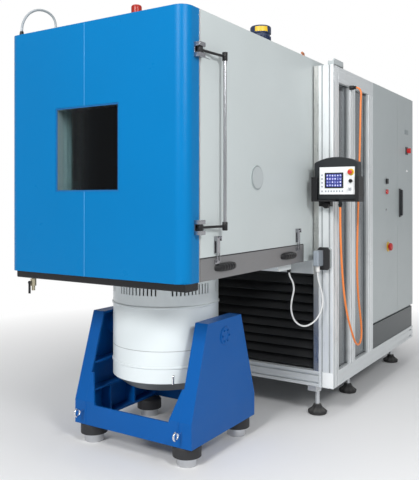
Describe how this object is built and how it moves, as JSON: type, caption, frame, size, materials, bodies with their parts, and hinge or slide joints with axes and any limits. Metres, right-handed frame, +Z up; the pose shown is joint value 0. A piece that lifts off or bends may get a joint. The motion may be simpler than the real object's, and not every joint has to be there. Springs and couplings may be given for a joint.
{
  "type": "environmental test chamber",
  "caption": "Climatic test chamber with a hinged window door and open-bottom floor tray over a trunnion-mounted vibration shaker, on a profile machine frame with control cabinet.",
  "frame": {"origin": "on the floor, under the middle of the machine's box without its cords", "axes": "+Z up, -Y towards the user at the chamber door, +X to that user's right, the side of the control cabinet and operator panel"},
  "size_m": [1.684, 3.305, 2.533],
  "materials": {
    "body_grey": "satin light grey paint",
    "door_blue": "satin bright blue paint",
    "stand_blue": "satin royal blue paint",
    "stainless": "brushed stainless sheet",
    "tray_steel": "brown-grey bead-blasted steel",
    "profile": "natural anodised profile",
    "zinc": "zinc plated",
    "chrome": "bright plated",
    "black_plastic": "fine textured black",
    "dark_cover": "satin black paint",
    "black_rubber": "matt black rubber",
    "seal": "soft dark silicone",
    "glass": "dark tinted glass",
    "white_plastic": "white moulded plastic",
    "red_plastic": "glossy red",
    "orange": "orange cable jacket",
    "motor_blue": "dark blue hammered paint",
    "shaker_white": "satin white paint",
    "cast": "machined iron",
    "magnesium": "machined light alloy",
    "pendant_grey": "anthracite moulded plastic",
    "machine": "dark grey paint"
  },
  "bodies": {
    "chamber": {"chamber_casing": "body_grey", "chamber_liner": "stainless", "cooling_coil_and_heater": "magnesium", "floor_tray": "tray_steel", "tray_seals": "seal", "tray_grips": "black_plastic", "toggle_brackets": "zinc", "fan_motor": "motor_blue", "roof_lamp": "red_plastic", "door_conduit": "white_plastic"},
    "port_plug": {"port_plug": "body_grey"},
    "toggle_left_front": {"toggle_left_front": "chrome"},
    "toggle_left_rear": {"toggle_left_rear": "chrome"},
    "toggle_right_front": {"toggle_right_front": "chrome"},
    "toggle_right_rear": {"toggle_right_rear": "chrome"},
    "drain_lever": {"drain_lever": "black_plastic"},
    "fan": {"fan_wheel": "stainless"},
    "door": {"door_shell": "door_blue", "door_inner_panel": "stainless", "door_gasket": "seal", "window_panes": "glass", "door_bottom_rail": "black_rubber", "handle_pivot_blocks": "chrome"},
    "handle": {"door_handle": "zinc"},
    "root": {"frame_columns": "profile", "frame_beams": "profile", "guide_rails": "profile", "lift_cylinders": "zinc", "louvres_and_plinth": "dark_cover", "machine_panels": "body_grey", "foot_runners": "zinc", "foot_pads": "black_rubber", "refrigeration_set": "machine", "cabinet_carcass": "body_grey", "mounting_plate": "zinc", "pendant_holder": "black_plastic", "cord_sockets": "black_plastic", "lead_plug": "pendant_grey", "pendant_cable": "orange", "tray_lead": "white_plastic", "shaker_body": "shaker_white", "field_magnet": "cast", "stand_cheeks": "stand_blue", "stand_cross_plates": "stand_blue", "stand_feet": "black_rubber", "eye_bolts": "chrome"},
    "front_leaf": {"cabinet_door_front": "body_grey"},
    "start_button": {"start_button": "black_plastic"},
    "stop_button": {"stop_button": "black_plastic"},
    "emergency_stop": {"emergency_stop": "red_plastic"},
    "rear_leaf": {"cabinet_door_rear": "body_grey"},
    "cabinet_handle": {"cabinet_handle": "black_plastic"},
    "main_switch": {"main_switch_knob": "red_plastic"},
    "pendant": {"pendant_housing": "pendant_grey", "pendant_panel": "white_plastic"},
    "pendant_stop": {"pendant_stop": "red_plastic"},
    "pendant_selector": {"pendant_selector": "black_plastic"},
    "pendant_key": {"pendant_key": "zinc"},
    "holder_knob": {"holder_knob": "black_plastic"},
    "armature": {"armature": "magnesium"}
  },
  "joints": [
    {"name": "chamber_lift", "type": "slide", "parent": "root", "child": "chamber", "axis": [0, 0, 1], "range_m": [0, 0.4]},
    {"name": "door_hinge", "type": "hinge", "parent": "chamber", "child": "door", "pos_m": [-0.712, -1.5275, 1.666], "axis": [0, 0, -1], "range_deg": [0, 110]},
    {"name": "handle_swing", "type": "hinge", "parent": "door", "child": "handle", "pos_m": [0.507, -1.5565, 1.696], "axis": [0, 0, -1], "range_deg": [0, 75]},
    {"name": "fan_spin", "type": "hinge", "parent": "chamber", "child": "fan", "pos_m": [0.193, -0.3625, 2.2], "axis": [0, 0, 1], "continuous": true},
    {"name": "port_plug_pull", "type": "slide", "parent": "chamber", "child": "port_plug", "axis": [1, 0, 0], "range_m": [0, 0.12]},
    {"name": "drain_lever_turn", "type": "hinge", "parent": "chamber", "child": "drain_lever", "pos_m": [-0.679, -1.5255, 0.934], "axis": [0, 1, 0], "range_deg": [0, 90]},
    {"name": "armature_stroke", "type": "slide", "parent": "root", "child": "armature", "axis": [0, 0, 1], "range_m": [-0.0255, 0.0255], "stiffness_N_per_m": 80000},
    {"name": "front_leaf_hinge", "type": "hinge", "parent": "root", "child": "front_leaf", "pos_m": [0.63, 0.5825, 1.38], "axis": [0, 0, -1], "range_deg": [0, 110]},
    {"name": "rear_leaf_hinge", "type": "hinge", "parent": "root", "child": "rear_leaf", "pos_m": [0.63, 1.6525, 1.38], "axis": [0, 0, 1], "range_deg": [0, 110]},
    {"name": "cabinet_handle_turn", "type": "hinge", "parent": "rear_leaf", "child": "cabinet_handle", "pos_m": [0.638, 1.2575, 1.47], "axis": [1, 0, 0], "range_deg": [0, 90]},
    {"name": "main_switch_turn", "type": "hinge", "parent": "rear_leaf", "child": "main_switch", "pos_m": [0.637, 1.4615, 1.82], "axis": [1, 0, 0], "range_deg": [0, 90]},
    {"name": "start_button_press", "type": "slide", "parent": "front_leaf", "child": "start_button", "axis": [-1, 0, 0], "range_m": [0, 0.004], "stiffness_N_per_m": 400},
    {"name": "stop_button_press", "type": "slide", "parent": "front_leaf", "child": "stop_button", "axis": [-1, 0, 0], "range_m": [0, 0.004], "stiffness_N_per_m": 400},
    {"name": "emergency_stop_press", "type": "slide", "parent": "front_leaf", "child": "emergency_stop", "axis": [-1, 0, 0], "range_m": [0, 0.006], "stiffness_N_per_m": 800},
    {"name": "pendant_lift_off", "type": "slide", "parent": "root", "child": "pendant", "axis": [0, 0, 1], "range_m": [0, 0.25]},
    {"name": "pendant_stop_press", "type": "slide", "parent": "pendant", "child": "pendant_stop", "axis": [0, 1, 0], "range_m": [0, 0.004], "stiffness_N_per_m": 400},
    {"name": "pendant_selector_turn", "type": "hinge", "parent": "pendant", "child": "pendant_selector", "pos_m": [0.787, -0.3175, 1.522], "axis": [0, 1, 0], "range_deg": [-45, 45]},
    {"name": "pendant_key_turn", "type": "hinge", "parent": "pendant", "child": "pendant_key", "pos_m": [0.783, -0.3175, 1.473], "axis": [0, 1, 0], "range_deg": [0, 90]},
    {"name": "holder_knob_turn", "type": "hinge", "parent": "root", "child": "holder_knob", "pos_m": [0.603, -0.2525, 1.372], "axis": [0, 1, 0], "range_deg": [-180, 180]},
    {"name": "toggle_left_front_open", "type": "hinge", "parent": "chamber", "child": "toggle_left_front", "pos_m": [-0.712, -1.3805, 1.217], "axis": [0, 1, 0], "range_deg": [0, 120]},
    {"name": "toggle_left_rear_open", "type": "hinge", "parent": "chamber", "child": "toggle_left_rear", "pos_m": [-0.712, -0.4375, 1.217], "axis": [0, 1, 0], "range_deg": [0, 120]},
    {"name": "toggle_right_front_open", "type": "hinge", "parent": "chamber", "child": "toggle_right_front", "pos_m": [0.498, -1.3805, 1.217], "axis": [0, -1, 0], "range_deg": [0, 120]},
    {"name": "toggle_right_rear_open", "type": "hinge", "parent": "chamber", "child": "toggle_right_rear", "pos_m": [0.498, -0.4375, 1.217], "axis": [0, -1, 0], "range_deg": [0, 120]}
  ]
}
